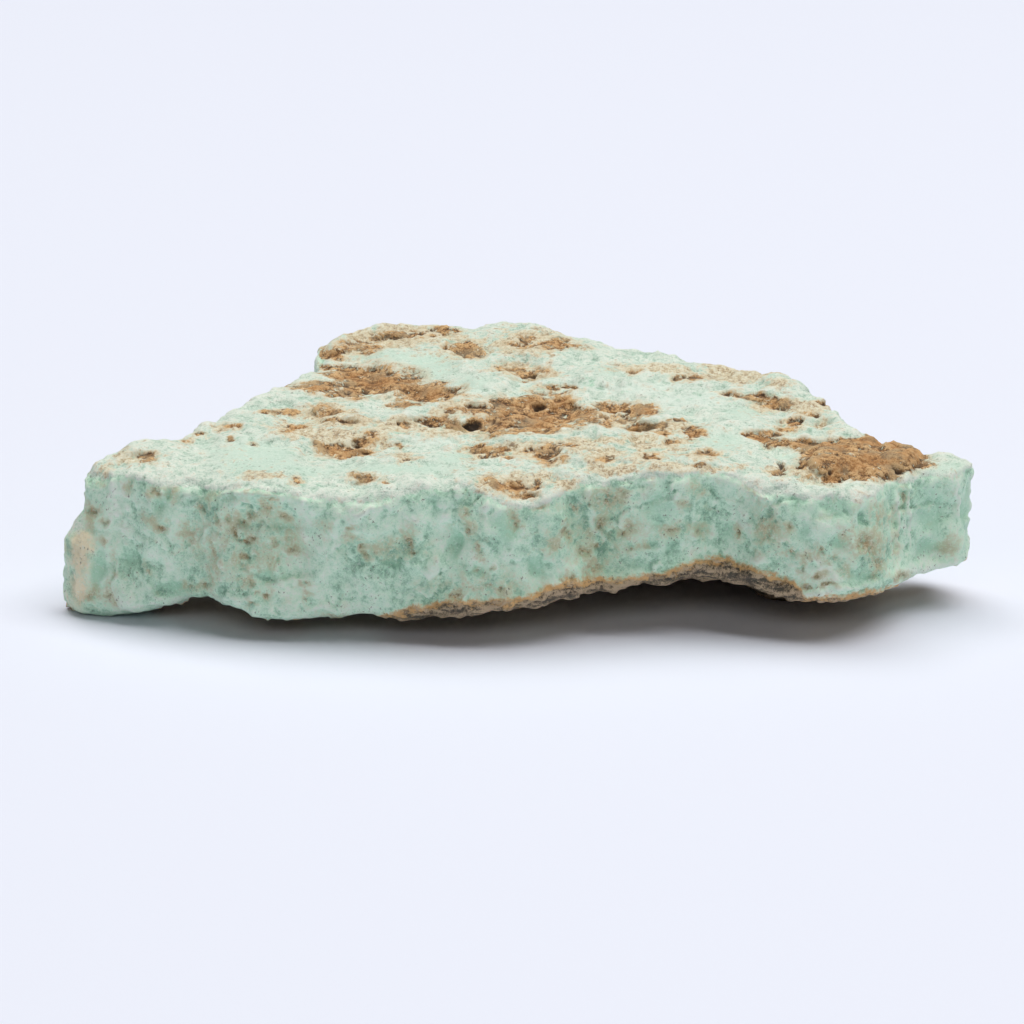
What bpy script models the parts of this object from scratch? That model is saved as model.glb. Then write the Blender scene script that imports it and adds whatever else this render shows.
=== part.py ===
"""Raw chrysoprase: a hand-sized slab of rough mint-green chalcedony with a brown ironstone rind.

Metres, +Z up. The slab lies on its worn feet. X runs along its longest side, -Y is the broken
front face, and the origin is at the middle of the bounding box, on the surface it rests on.
Sizes below are in millimetres and are turned to metres by MM.
"""

import math

import bpy
import numpy as np
from mathutils import Vector, noise

MM = 0.001

# --- driving dimensions, millimetres ---------------------------------------------------------

BLANK_THICKNESS = 14.0  # of the flat blank that is cut to the outline, before its faces are shaped
RIM_RADIUS = 0.9  # round on the broken top and bottom edges
VOXEL = 1.0  # mesh size while the stone is shaped
TRIANGLES = 9400  # of the finished stone

# The slab seen from above, anticlockwise from the left end of the front face. Y is 0 at the front.
OUTLINE = [
    # the long broken side at the front, from the left: it bows out, and both of its ends lie further back
    (-45.4, 11.4),
    (-44.8, 9.4),
    (-42.4, 7.4),
    (-38.6, 5.4),
    (-35.4, 4.6),
    (-33.0, 4.2),
    (-30.6, 2.4),
    (-27.2, 1.0),
    (-23.0, 0.9),
    (-18.0, 0.5),
    (-12.0, 0.0),
    (-6.0, -0.2),
    (0.0, -0.2),
    (4.6, 0.3),
    (7.4, 1.9),
    (11.0, 2.4),
    (16.0, 3.0),
    (21.0, 3.4),
    (24.6, 2.8),
    (28.0, 1.6),
    (32.0, 1.2),
    (36.4, 1.9),
    (39.4, 3.6),
    (40.8, 6.6),
    (43.2, 8.8),
    (46.4, 11.2),
    (49.4, 13.8),
    # the right end and the back
    (49.0, 16.4),
    (47.2, 18.6),
    (43.6, 20.0),
    (39.6, 19.2),
    (37.4, 20.4),
    (36.8, 23.0),
    (35.6, 27.0),
    (34.2, 30.4),
    (31.2, 34.4),
    (28.6, 38.4),
    (24.6, 42.0),
    (20.2, 42.8),
    (16.2, 45.6),
    (12.6, 47.0),
    (9.0, 50.0),
    (4.4, 52.6),
    (-0.8, 56.0),
    (-6.0, 55.4),
    (-10.4, 53.6),
    (-15.2, 54.0),
    (-18.8, 51.4),
    (-21.2, 48.0),
    (-22.2, 43.0),
    (-24.8, 37.2),
    (-26.8, 32.0),
    (-28.2, 29.6),
    (-32.0, 24.8),
    (-35.4, 20.0),
    (-38.6, 17.4),
    (-41.8, 15.6),
    (-44.4, 13.6),
]

# Height of the top face at chosen places: x, y, height.
TOP_HEIGHTS = [
    (-44, 11, 16.4),
    (-38, 8, 17.0),
    (-33, 5, 17.2),
    (-28, 2, 17.4),
    (-22, 1, 17.3),
    (-15, 1, 17.4),
    (-6, 1, 18.1),
    (2, 1, 17.8),
    (9, 3, 18.2),
    (16, 4, 18.2),
    (21, 4, 18.8),
    (27, 3, 17.6),
    (32, 2, 17.0),
    (37, 4, 16.4),
    (42, 10, 15.9),
    (48, 15, 15.2),
    (-38, 14, 17.3),
    (-25, 12, 18.1),
    (-10, 10, 18.3),
    (5, 10, 18.4),
    (20, 12, 18.5),
    (32, 12, 17.2),
    (-30, 24, 18.4),
    (-15, 22, 18.9),
    (5, 22, 18.8),
    (22, 24, 19.0),
    (34, 24, 18.4),
    (-22, 38, 19.2),
    (-8, 38, 19.5),
    (10, 38, 19.5),
    (24, 37, 19.8),
    (-18, 50, 19.5),
    (-3, 54, 20.2),
    (8, 49, 20.3),
]

# Height of the underside at chosen places. Below nothing, the stone is worn flat and stands.
UNDERSIDE_HEIGHTS = [
    # along the front edge, which hangs clear of the table between its two ends
    (-45.5, 10, 0.2),
    (-44, 8.4, -0.2),
    (-41, 7, 1.2),
    (-38, 4.8, 2.1),
    (-34.5, 3.8, 3.4),
    (-32.5, 3.4, 3.8),
    (-29.5, 2.4, 3.0),
    (-27, 1.4, 2.2),
    (-22, 0.6, 2.3),
    (-17, 0.4, 2.6),
    (-12, 0, 2.9),
    (-6, 0, 3.5),
    (0, 0, 3.9),
    (5, 0.5, 4.4),
    (9, 1.4, 5.0),
    (14.5, 2.4, 5.6),
    (20, 3, 6.2),
    (24, 2.4, 6.1),
    (26, 2, 5.5),
    (28, 1.6, 4.6),
    (30.5, 1.4, 4.0),
    (33.5, 1.8, 4.4),
    (36, 2.4, 4.6),
    (39, 4.4, 4.7),
    (42, 8.5, 4.5),
    (46, 12, 4.4),
    (48.5, 14, 5.0),
    (50, 16, 5.7),
    # the feet
    (-43.2, 11, -0.8),
    (31.5, 17.5, -1.0),
    (-10, 43, -1.0),
    (10, 40, -1.0),
    # the bulge that carries them
    (-33, 12, 3.2),
    (-22, 8, 2.8),
    (-8, 8, 3.4),
    (8, 10, 4.4),
    (19, 10, 4.8),
    (30, 9, 3.4),
    (38, 12, 3.2),
    (-26, 22, 2.4),
    (-8, 22, 1.6),
    (8, 22, 1.8),
    (22, 22, 2.2),
    (-16, 34, 0.8),
    (0, 34, 0.2),
    (18, 34, 0.8),
    (30, 30, 2.2),
    (-20, 48, 2.6),
    (-3, 54, 2.8),
    (8, 49, 2.2),
    (34, 22, 2.4),
    (24, 40, 2.6),
    (44, 16, 3.8),
]

# Hollows (below 0) and humps of the top face: x, y, half length, half width, turn in degrees, rise.
# The brown rind lies in the hollows, and is a thick raised crust at the right end.
TOP_RELIEF = [
    # the rind hollow at the back left, in two lobes, with its slot
    (-15.2, 34.0, 5.0, 4.8, 20, -1.0),
    (-9.6, 30.0, 3.8, 2.4, 0, -1.0),
    (-17.2, 30.4, 2.4, 0.9, 25, -1.1),
    # the long rind hollow across the middle, with its dark cave at the left
    (1.8, 22.6, 6.8, 4.6, 20, -1.1),
    (-7.2, 19.9, 3.8, 1.5, 4, -1.3),
    (-4.2, 19.4, 1.5, 1.3, 0, -1.5),
    (12.2, 24.0, 3.4, 2.6, 0, -0.8),
    (15.0, 18.9, 5.4, 1.4, -8, -1.1),
    # the lip of pale stone in front of it
    (-8.0, 16.6, 6.0, 1.8, 0, 0.5),
    (8.0, 15.4, 11.0, 1.6, 8, 0.5),
    # the raised crust at the right end
    (36.8, 10.4, 6.6, 4.8, 12, 1.5),
    (31.0, 14.4, 3.0, 1.4, -10, 0.8),
    # smaller hollows, right of the middle
    (27.2, 14.4, 2.2, 2.0, 0, -0.6),
    (28.6, 25.4, 3.6, 2.6, -50, -0.6),
    (33.4, 22.2, 1.6, 1.2, 0, -1.0),
    (30.4, 19.0, 1.6, 1.4, 0, -0.5),
    # and towards the back
    (4.6, 46.4, 4.0, 3.6, 0, -0.7),
    (-5.0, 44.6, 2.2, 3.0, 0, -0.9),
    (0.8, 38.8, 3.0, 2.2, 0, -0.7),
    (1.3, 35.4, 1.6, 1.0, 0, -1.0),
    (5.6, 31.6, 2.8, 1.0, 5, -0.9),
    (19.8, 36.0, 1.8, 1.4, 0, -0.5),
    # the brown ridge along the back left edge
    (-13.0, 51.8, 5.0, 1.8, 0, 0.9),
    (-19.4, 46.4, 2.0, 4.0, 0, 0.5),
    # smooth swales between the rind patches
    (-9.6, 38.0, 3.0, 7.0, 0, -0.8),
    (20.0, 26.0, 4.0, 9.0, 35, -0.6),
    (23.4, 11.0, 2.6, 6.0, 0, -0.5),
    # pitted spots on the front half
    (-18.0, 12.2, 4.4, 3.6, 0, -0.6),
    (-16.4, 13.6, 1.4, 1.0, 0, -0.7),
    (-24.0, 21.6, 4.6, 2.4, 0, -0.5),
    (-38.8, 11.4, 1.5, 1.1, 0, -0.8),
    (-16.0, 2.6, 1.7, 1.0, 0, -0.6),
    (3.8, 8.8, 2.0, 1.6, 0, -0.9),
    (-2.8, 11.2, 2.6, 1.3, 0, -0.5),
    (14.2, 9.2, 1.6, 1.3, 0, -0.6),
    (8.6, 6.0, 6.0, 1.2, 5, 0.4),
    # the smooth lobe that rolls over the front edge
    (-27.0, 6.0, 5.2, 3.8, 0, 0.5),
]

# Lobes and hollows of the broken sides: centre x, y, z, half sizes x, y, z, and the way it is moved.
SIDE_RELIEF = [
    # the foot that stands out below the left end
    ((-46.2, 11.0, 4.6), (3.6, 6.0, 6.2), (-2.8, -0.4, 0.0)),
    # groove between the left end and the first lobe
    ((-33.0, 4.4, 9.8), (1.8, 2.6, 6.0), (0.0, 0.5, 0.0)),
    # brow of the first lobe, and the hollow under it
    ((-27.0, 0.6, 17.4), (5.6, 2.6, 1.9), (0.0, -0.8, 0.0)),
    ((-26.2, 0.6, 12.6), (4.0, 2.8, 3.6), (0.0, 1.2, 0.0)),
    # swellings of the middle of the front, with a groove between them
    ((-13.5, 0.0, 13.8), (4.6, 2.6, 3.8), (0.0, -0.8, 0.0)),
    ((-7.6, -0.2, 11.2), (1.2, 2.6, 5.0), (0.0, 0.4, 0.0)),
    ((-1.0, -0.2, 10.8), (4.0, 2.6, 4.4), (0.0, -0.7, 0.0)),
    # bite out of the top edge
    ((1.8, 0.0, 17.8), (3.4, 2.4, 1.7), (0.0, 0.5, -1.2)),
    # recess behind the slanting ridge, right of the middle
    ((8.8, 2.0, 8.8), (2.2, 2.8, 5.0), (0.0, 1.3, 0.0)),
    ((22.0, 3.6, 10.2), (2.4, 2.8, 6.0), (0.0, 0.9, 0.0)),
    # rib at the left of the right-hand lobe, a plate that stands off it, and the groove on its right
    ((26.0, 2.2, 12.2), (1.2, 2.6, 6.0), (0.0, -0.6, 0.0)),
    ((34.8, 1.6, 10.4), (3.8, 2.4, 5.6), (0.2, -1.0, 0.0)),
    ((40.6, 5.8, 14.8), (1.0, 2.4, 4.0), (-0.3, 0.6, 0.0)),
    # facet of the right end
    ((47.0, 12.0, 12.2), (1.2, 2.4, 8.0), (0.5, -0.5, 0.0)),
    # the hidden back: a shelf low on the left, a hollow in the middle and a bulge on the right
    ((-27.0, 34.0, 7.6), (7.0, 5.0, 4.6), (-2.4, 1.2, 0.0)),
    ((-3.0, 56.6, 8.6), (6.0, 4.0, 4.8), (0.0, -2.2, 0.0)),
    ((15.0, 46.6, 7.8), (7.0, 4.0, 4.8), (0.9, 1.8, 0.0)),
    ((34.0, 32.0, 11.4), (5.0, 6.0, 3.4), (-1.2, -0.8, 0.0)),
    ((44.0, 19.0, 7.6), (5.0, 3.0, 4.4), (0.6, 1.2, 0.0)),
]

WARP = 0.9  # how far the edges of the hollows wander
WARP_SIZE = 4.0  # over this distance
TERRACE_RISE = 0.45  # step between two layers of the rind
TERRACE_SIZE = 11.0  # width of a layer
FLUTE_DEPTH = 0.55  # upright flutes of the broken sides
FLUTE_WIDTH = 3.6
FLUTE_HEIGHT = 11.0
PITTING_DEPTH = 0.32  # general unevenness
PITTING_SIZE = 3.4
FACET_SIZE = 6.5  # flat breaks, which lean each its own way
SIDE_FACET_LEAN = 1.1
FACE_FACET_LEAN = 0.45
FACET_PATTERN = 4  # one of the ways in which the breaks can lean
LIP_THICKNESS = 1.5  # rind along the bottom edge, which stands out from the side
LIP_REACH = 0.55


def fractal(point, octaves=3):
    """Smooth unevenness between about -1 and 1 at a point, the same on every run."""
    return noise.fractal(Vector(point), 0.8, 2.1, octaves, noise_basis="PERLIN_ORIGINAL")


def facet(point):
    """Height of the flat break that a point lies on: each break leans its own way."""
    place = Vector(point) / FACET_SIZE
    centre = noise.voronoi(place)[1][0]
    lean = noise.noise_vector(centre * 3.3)
    return (place - centre).dot(lean)


def blank():
    """A flat plate with rounded rims, cut to the outline, as an evenly meshed solid."""
    curve = bpy.data.curves.new("outline", "CURVE")
    curve.dimensions = "2D"
    curve.fill_mode = "BOTH"
    curve.extrude = (BLANK_THICKNESS / 2 - RIM_RADIUS) * MM
    curve.bevel_depth = RIM_RADIUS * MM
    curve.bevel_resolution = 2
    curve.offset = -RIM_RADIUS * MM
    spline = curve.splines.new("BEZIER")
    spline.bezier_points.add(len(OUTLINE) - 1)
    for point, (x, y) in zip(spline.bezier_points, OUTLINE):
        point.co = (x * MM, y * MM, 0)
        point.handle_left_type = point.handle_right_type = "AUTO"
    spline.use_cyclic_u = True
    spline.resolution_u = 4
    plate = bpy.data.objects.new("plate", curve)
    bpy.context.scene.collection.objects.link(plate)
    remesh = plate.modifiers.new("even mesh", "REMESH")
    remesh.mode = "VOXEL"
    remesh.voxel_size = VOXEL * MM
    bpy.context.view_layer.update()
    evaluated = plate.evaluated_get(bpy.context.evaluated_depsgraph_get())
    mesh = bpy.data.meshes.new_from_object(evaluated)
    bpy.data.objects.remove(plate)
    return mesh


def blended_height(places, x, y):
    """The height at each x, y: a mean of the chosen places, the nearest counting most."""
    softness = 4.0
    total = np.zeros_like(x)
    weights = np.zeros_like(x)
    for place_x, place_y, height in places:
        weight = ((x - place_x) ** 2 + (y - place_y) ** 2 + softness) ** -2.2
        total += weight * height
        weights += weight
    return total / weights


def steep(distance_squared):
    """1 inside a patch and 0 outside it, with a steep edge where the distance is 1."""
    return 1 / (1 + distance_squared**3)


def top_height(x, y, warp_x, warp_y):
    height = blended_height(TOP_HEIGHTS, x, y)
    for centre_x, centre_y, half_length, half_width, turn, rise in TOP_RELIEF:
        cos, sin = math.cos(math.radians(turn)), math.sin(math.radians(turn))
        dx, dy = x + warp_x - centre_x, y + warp_y - centre_y
        along = (dx * cos + dy * sin) / half_length
        across = (dy * cos - dx * sin) / half_width
        height += rise * steep(along**2 + across**2)
    return height


def terrace(x, y):
    """Low steps where one layer of the rind ends and the next shows."""
    level = 2.2 * fractal((x / TERRACE_SIZE, y / TERRACE_SIZE, 3.7), 4)
    below = math.floor(level)
    rise = min(1, max(0, (level - below - 0.4) / 0.2))
    return TERRACE_RISE * (below + rise)


def side_move(points):
    """How far the lobes and hollows of the sides move each point."""
    move = np.zeros_like(points)
    for centre, half_sizes, way in SIDE_RELIEF:
        distance = (points - np.array(centre)) / np.array(half_sizes)
        move += np.outer(steep((distance**2).sum(axis=1)), way)
    return move


def chalcedony():
    """Shapes the blank into the stone, and returns its mesh."""
    noise.seed_set(FACET_PATTERN)
    mesh = blank()
    points = np.empty(len(mesh.vertices) * 3)
    mesh.vertices.foreach_get("co", points)
    points = points.reshape(-1, 3) / MM
    x, y = points[:, 0].copy(), points[:, 1].copy()
    share = np.clip(points[:, 2] / BLANK_THICKNESS + 0.5, 0, 1)

    wander = [[fractal((px / WARP_SIZE, py / WARP_SIZE, k)) for px, py in zip(x, y)] for k in (0.5, 9.5)]
    top = top_height(x, y, WARP * np.array(wander[0]), WARP * np.array(wander[1]))
    top += [terrace(px, py) for px, py in zip(x, y)]
    underside = blended_height(UNDERSIDE_HEIGHTS, x, y)
    points[:, 2] = underside + (top - underside) * share
    points += side_move(points)

    mesh.vertices.foreach_set("co", (points * MM).ravel())
    mesh.update()
    normals = np.array([vertex.normal for vertex in mesh.vertices])
    outward = normals * (1, 1, 0)
    side = np.linalg.norm(outward, axis=1)
    above_underside = (top - underside) * share
    lip = LIP_REACH * steep((above_underside / LIP_THICKNESS) ** 2)
    lip *= np.clip((points[:, 0] + 10) / 5, 0, 1)
    for index, (point, normal) in enumerate(zip(points, normals)):
        px, py, pz = point
        flute = fractal((px / FLUTE_WIDTH, py / FLUTE_WIDTH, pz / FLUTE_HEIGHT))
        pitting = fractal(point / PITTING_SIZE, 4)
        lean = SIDE_FACET_LEAN * side[index] + FACE_FACET_LEAN * (1 - side[index])
        point += normal * (FLUTE_DEPTH * flute * side[index] + PITTING_DEPTH * pitting + lean * facet(point))
        point += outward[index] * lip[index]
    mesh.vertices.foreach_set("co", (points * MM).ravel())
    mesh.update()
    return mesh


def thinned(mesh):
    """The same stone in fewer triangles."""
    dense = bpy.data.objects.new("dense", mesh)
    bpy.context.scene.collection.objects.link(dense)
    fewer = dense.modifiers.new("fewer triangles", "DECIMATE")
    fewer.ratio = TRIANGLES / (2 * len(mesh.polygons))
    fewer.use_collapse_triangulate = True
    bpy.context.view_layer.update()
    light = bpy.data.meshes.new_from_object(dense.evaluated_get(bpy.context.evaluated_depsgraph_get()))
    bpy.data.objects.remove(dense)
    return light


def stand(mesh):
    """Wears the feet flat where they reach below the ground, and puts the middle at the origin."""
    for vertex in mesh.vertices:
        vertex.co.z = max(vertex.co.z, 0)
    for axis in range(2):
        places = [vertex.co[axis] for vertex in mesh.vertices]
        middle = (min(places) + max(places)) / 2
        for vertex in mesh.vertices:
            vertex.co[axis] -= middle


def mint_stone():
    material = bpy.data.materials.new("mint_chalcedony")
    material.use_nodes = True
    shader = material.node_tree.nodes["Principled BSDF"]
    shader.inputs["Base Color"].default_value = (0.42, 0.62, 0.50, 1)
    shader.inputs["Roughness"].default_value = 0.6
    shader.inputs["Metallic"].default_value = 0.0
    return material


def main():
    for obj in list(bpy.data.objects):
        bpy.data.objects.remove(obj)
    mesh = thinned(chalcedony())
    stand(mesh)
    mesh.name = "chrysoprase"
    mesh.materials.clear()
    mesh.materials.append(mint_stone())
    mesh.shade_smooth()
    stone = bpy.data.objects.new("chrysoprase", mesh)
    bpy.context.scene.collection.objects.link(stone)


main()
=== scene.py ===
"""Raw chrysoprase on a pale floor: the rough stone in full detail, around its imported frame."""

import itertools
import math
from collections import namedtuple

import bmesh
import bpy
import numpy as np
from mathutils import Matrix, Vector
from mathutils.bvhtree import BVHTree


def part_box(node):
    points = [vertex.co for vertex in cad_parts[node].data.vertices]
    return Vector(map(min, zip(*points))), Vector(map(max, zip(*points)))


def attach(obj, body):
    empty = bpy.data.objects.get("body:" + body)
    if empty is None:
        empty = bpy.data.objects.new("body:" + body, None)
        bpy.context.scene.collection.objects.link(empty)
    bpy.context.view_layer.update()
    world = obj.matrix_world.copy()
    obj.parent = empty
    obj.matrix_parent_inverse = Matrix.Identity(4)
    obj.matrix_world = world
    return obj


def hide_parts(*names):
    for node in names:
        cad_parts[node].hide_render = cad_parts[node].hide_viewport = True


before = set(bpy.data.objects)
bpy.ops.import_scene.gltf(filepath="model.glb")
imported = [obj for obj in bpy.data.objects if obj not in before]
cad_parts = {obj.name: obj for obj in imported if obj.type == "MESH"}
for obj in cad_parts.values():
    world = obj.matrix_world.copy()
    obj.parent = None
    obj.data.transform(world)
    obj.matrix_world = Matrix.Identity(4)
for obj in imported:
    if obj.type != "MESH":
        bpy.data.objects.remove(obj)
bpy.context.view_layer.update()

# --- Camera ---------------------------------------------------------------------------------------
# A close view from a little above the table, square to the long broken side of the stone, with
# a lens long enough that the back edge isn't much smaller than the front one.

MM = 0.001
LEFT_REACH = 48.46  # from the middle of the front side to the stone's left end, millimetres
FRONT_REACH = 1.25  # from the front side to the stone's foremost point
AIM = (0.0, 3.4, 13.7)  # what the camera looks at, from the middle of the front side
CAMERA_DISTANCE = 450.0
CAMERA_HEIGHT_ANGLE = math.radians(18.0)
LENS = 150.29
NEAR_CLIP = 0.01  # metres

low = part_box("chrysoprase")[0]
front_middle = np.array((low.x / MM + LEFT_REACH, low.y / MM + FRONT_REACH, 0.0))


def add(name, data):
    made = bpy.data.objects.new(name, data)
    bpy.context.scene.collection.objects.link(made)
    return made


camera = add("camera", bpy.data.cameras.new("camera"))
camera.data.lens = LENS
camera.data.clip_start = NEAR_CLIP
sight = Vector((0.0, math.cos(CAMERA_HEIGHT_ANGLE), -math.sin(CAMERA_HEIGHT_ANGLE)))
camera.location = (Vector(front_middle) + Vector(AIM) - CAMERA_DISTANCE * sight) * MM
camera.rotation_euler = sight.to_track_quat("-Z", "Y").to_euler()
bpy.context.scene.camera = camera
bpy.context.scene.view_settings.view_transform = "Standard"

# --- Studio light ---------------------------------------------------------------------------------
# One wide soft box hangs over the stone, a little behind it, so that the shadow falls forward. A weak
# lamp in front lifts the broken side. The room is dim and warm, so the gap underneath stays dark.

SOFT_BOX_SIZE = (3.2, 1.2)
SOFT_BOX_PLACE = (0.20, 0.30, 2.0)
SOFT_BOX_POWER = 60.0
SOFT_BOX_COLOUR = (1.0, 0.985, 0.965)
FRONT_LAMP_SIZE = (1.6, 0.5)
FRONT_LAMP_PLACE = (0.0, -1.3, 0.9)
FRONT_LAMP_POWER = 3.8
FRONT_LAMP_COLOUR = (1.0, 0.97, 0.92)
ROOM_COLOUR = (1.0, 0.92, 0.84)
ROOM_STRENGTH = 0.04


def soft_lamp(name, size, place, power, colour):
    """A rectangular lamp that faces the stone."""
    light = bpy.data.lights.new(name, "AREA")
    light.shape = "RECTANGLE"
    light.size, light.size_y = size
    light.energy = power
    light.color = colour
    lamp = add(name, light)
    lamp.location = place
    lamp.rotation_euler = (-Vector(place)).to_track_quat("-Z", "Y").to_euler()


soft_lamp("soft_box", SOFT_BOX_SIZE, SOFT_BOX_PLACE, SOFT_BOX_POWER, SOFT_BOX_COLOUR)
soft_lamp("front_lamp", FRONT_LAMP_SIZE, FRONT_LAMP_PLACE, FRONT_LAMP_POWER, FRONT_LAMP_COLOUR)
room = bpy.data.worlds.new("room")
room.use_nodes = True
room.node_tree.nodes["Background"].inputs["Color"].default_value = (*ROOM_COLOUR, 1)
room.node_tree.nodes["Background"].inputs["Strength"].default_value = ROOM_STRENGTH
bpy.context.scene.world = room

# --- Floor ----------------------------------------------------------------------------------------
# A plain pale sheet, far wider than the view, that the stone's feet stand on. It is matt, and only
# the soft shadow shows on it.

FLOOR_HALF = 2.0
FLOOR_COLOUR = (227, 232, 246)
FLOOR_ROUGHNESS = 0.9


def linear(red, green, blue):
    """A colour given in 8-bit display values, as the shader takes it."""
    shares = [value / 255 for value in (red, green, blue)]
    return tuple(s / 12.92 if s <= 0.04045 else ((s + 0.055) / 1.055) ** 2.4 for s in shares)


class Wire:
    """A shader value. Sums and products of wires add the Math nodes that they need."""

    def __init__(self, finish, socket):
        self.finish = finish
        self.socket = socket

    def math(self, operation, first, second):
        return self.finish.node("ShaderNodeMath", {"operation": operation}, {0: first, 1: second})

    def __add__(self, other):
        return self.math("ADD", self, other)

    def __sub__(self, other):
        return self.math("SUBTRACT", self, other)

    def __rsub__(self, other):
        return self.math("SUBTRACT", other, self)

    def __mul__(self, other):
        return self.math("MULTIPLY", self, other)

    def __pow__(self, other):
        return self.math("POWER", self, other)

    __radd__ = __add__
    __rmul__ = __mul__


class Finish:
    """A material whose nodes are added one by one. Sizes are in millimetres."""

    def __init__(self, name):
        self.material = bpy.data.materials.new(name)
        self.material.use_nodes = True
        self.tree = self.material.node_tree
        self.shader = self.tree.nodes["Principled BSDF"]
        self.place = self.node("ShaderNodeTexCoord", {}, {}, "Object")

    def plug(self, socket, value):
        if isinstance(value, Wire):
            self.tree.links.new(value.socket, socket)
        else:
            socket.default_value = value

    def node(self, kind, settings, sockets, output=0):
        made = self.tree.nodes.new(kind)
        for name, value in settings.items():
            if name == "stops":
                stops = made.color_ramp.elements
                for index, (position, colour) in enumerate(value):
                    stop = stops[index] if index < 2 else stops.new(position)
                    stop.position = position
                    stop.color = (*colour, 1)
            else:
                setattr(made, name, value)
        for name, value in sockets.items():
            self.plug(made.inputs[name], value)
        return Wire(self, made.outputs[output])

    def set(self, **sockets):
        for name, value in sockets.items():
            self.plug(self.shader.inputs[name.replace("_", " ")], value)

    def noise(self, size, detail=2.0, roughness=0.5, distortion=0.0):
        """Unevenness about 0.5, in lumps as wide as size."""
        sockets = {"Vector": self.place, "Scale": 1 / (size * MM), "Detail": detail}
        sockets |= {"Roughness": roughness, "Distortion": distortion}
        return self.node("ShaderNodeTexNoise", {}, sockets)

    def step(self, value, start, end):
        """0 below start and 1 above end, with a soft rise between them."""
        sockets = {"Value": value, "From Min": start, "From Max": end}
        return self.node("ShaderNodeMapRange", {"interpolation_type": "SMOOTHSTEP"}, sockets)

    def blend(self, under, over, share):
        """Two colours mixed by a share of the second one."""
        first, second = ((*c, 1) if isinstance(c, tuple) else c for c in (under, over))
        return self.node("ShaderNodeMix", {"data_type": "RGBA"}, {0: share, 6: first, 7: second}, 2)

    def attribute(self, name):
        return self.node("ShaderNodeAttribute", {"attribute_name": name}, {}, "Fac")


shape = bmesh.new()
bmesh.ops.create_grid(shape, x_segments=2, y_segments=2, size=FLOOR_HALF)
floor_mesh = bpy.data.meshes.new("floor")
shape.to_mesh(floor_mesh)
shape.free()
floor = add("floor", floor_mesh)
sheet = Finish("pale_sheet")
sheet.set(Base_Color=(*linear(*FLOOR_COLOUR), 1), Roughness=FLOOR_ROUGHNESS)
floor_mesh.materials.append(sheet.material)

# --- The stone: its body --------------------------------------------------------------------------
# One piece of rough chalcedony, split off a vein with a hammer. Its sides are fresh breaks, lobed
# and faceted; it lies on its uneven lower skin.

FINE_MESH = 0.30  # point spacing while the stone is carved, millimetres
MERGE_WITHIN = 1e-6  # metres
SOFTEN_ROUNDS = 9
SOFTEN_SHARE = 0.5
MOST_TRIANGLES = 196000

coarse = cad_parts["chrysoprase"]
shape = bmesh.new()
shape.from_mesh(coarse.data)
bmesh.ops.remove_doubles(shape, verts=shape.verts, dist=MERGE_WITHIN)
coarse_mesh = bpy.data.meshes.new("coarse_stone")
shape.to_mesh(coarse_mesh)
shape.free()
coarse_mesh.materials.clear()
rough = add("rough_stone", coarse_mesh)
remesh = rough.modifiers.new("even mesh", "REMESH")
remesh.mode = "VOXEL"
remesh.voxel_size = FINE_MESH * MM
soften = rough.modifiers.new("soften", "SMOOTH")
soften.factor = SOFTEN_SHARE
soften.iterations = SOFTEN_ROUNDS


def applied(source, name):
    """The object's mesh with its modifiers applied. The object itself is removed."""
    bpy.context.view_layer.update()
    mesh = bpy.data.meshes.new_from_object(source.evaluated_get(bpy.context.evaluated_depsgraph_get()))
    bpy.data.objects.remove(source)
    mesh.name = name
    return mesh


mesh = applied(rough, "carved_stone")
count = len(mesh.vertices)
points = np.empty(count * 3)
mesh.vertices.foreach_get("co", points)
points = points.reshape(-1, 3) / MM - front_middle
ends = np.empty(len(mesh.edges) * 2, int)
mesh.edges.foreach_get("vertices", ends)
ends = ends.reshape(-1, 2)
neighbours = np.bincount(ends.ravel(), minlength=count)


def spread(values, rounds):
    """Values at the points, evened out over neighbouring points."""
    for _ in range(rounds):
        total = np.bincount(ends[:, 0], values[ends[:, 1]], count)
        total += np.bincount(ends[:, 1], values[ends[:, 0]], count)
        values = (values + total / neighbours) / 2
    return values


def normals_now():
    mesh.vertices.foreach_set("co", ((points + front_middle) * MM).ravel())
    mesh.update()
    found = np.empty(count * 3)
    mesh.vertex_normals.foreach_get("vector", found)
    return found.reshape(-1, 3)


def rise(value, start, end):
    """0 below start and 1 above end, with a soft rise between them."""
    share = np.clip((value - start) / (end - start), 0, 1)
    return share * share * (3 - 2 * share)


CELL_PRIMES = (73856093, 19349663, 83492791)
SEED_PRIME = 2654435761
STIRS = ((15, 2246822519), (13, 3266489917))  # bits to shift by and prime to multiply by
ALL_BITS = 0xFFFFFFFF


def lots(cells, seed):
    """Three numbers between 0 and 1 for every whole-numbered cell, the same on every run."""
    whole = cells.astype(np.int64).astype(np.uint64)
    key = np.full(len(cells), seed * SEED_PRIME, np.uint64)
    for axis, prime in enumerate(CELL_PRIMES):
        key ^= whole[:, axis] * np.uint64(prime)
    drawn = []
    for _ in range(3):
        for shift, prime in STIRS:
            key = (key ^ (key >> np.uint64(shift))) * np.uint64(prime) & np.uint64(ALL_BITS)
        drawn.append(key / ALL_BITS)
    return np.stack(drawn, axis=1)


LUMP_HEIGHT = 1.7  # brings the lumps to about -1 to 1


def lumps(where, size, seed, octaves=1):
    """Smooth unevenness, about -1 to 1, in lumps as wide as size."""
    total, weight = np.zeros(len(where)), 1.0
    for octave in range(octaves):
        place = where / size
        cell = np.floor(place)
        part = place - cell
        fade = part**3 * (part * (part * 6 - 15) + 10)
        for corner in itertools.product((0, 1), repeat=3):
            lean = 2 * lots(cell + corner, seed + octave) - 1
            share = np.where(corner, fade, 1 - fade).prod(axis=1)
            total += weight * share * ((part - corner) * lean).sum(axis=1)
        size, weight = size / 2, weight / 2
    return LUMP_HEIGHT * total


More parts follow.
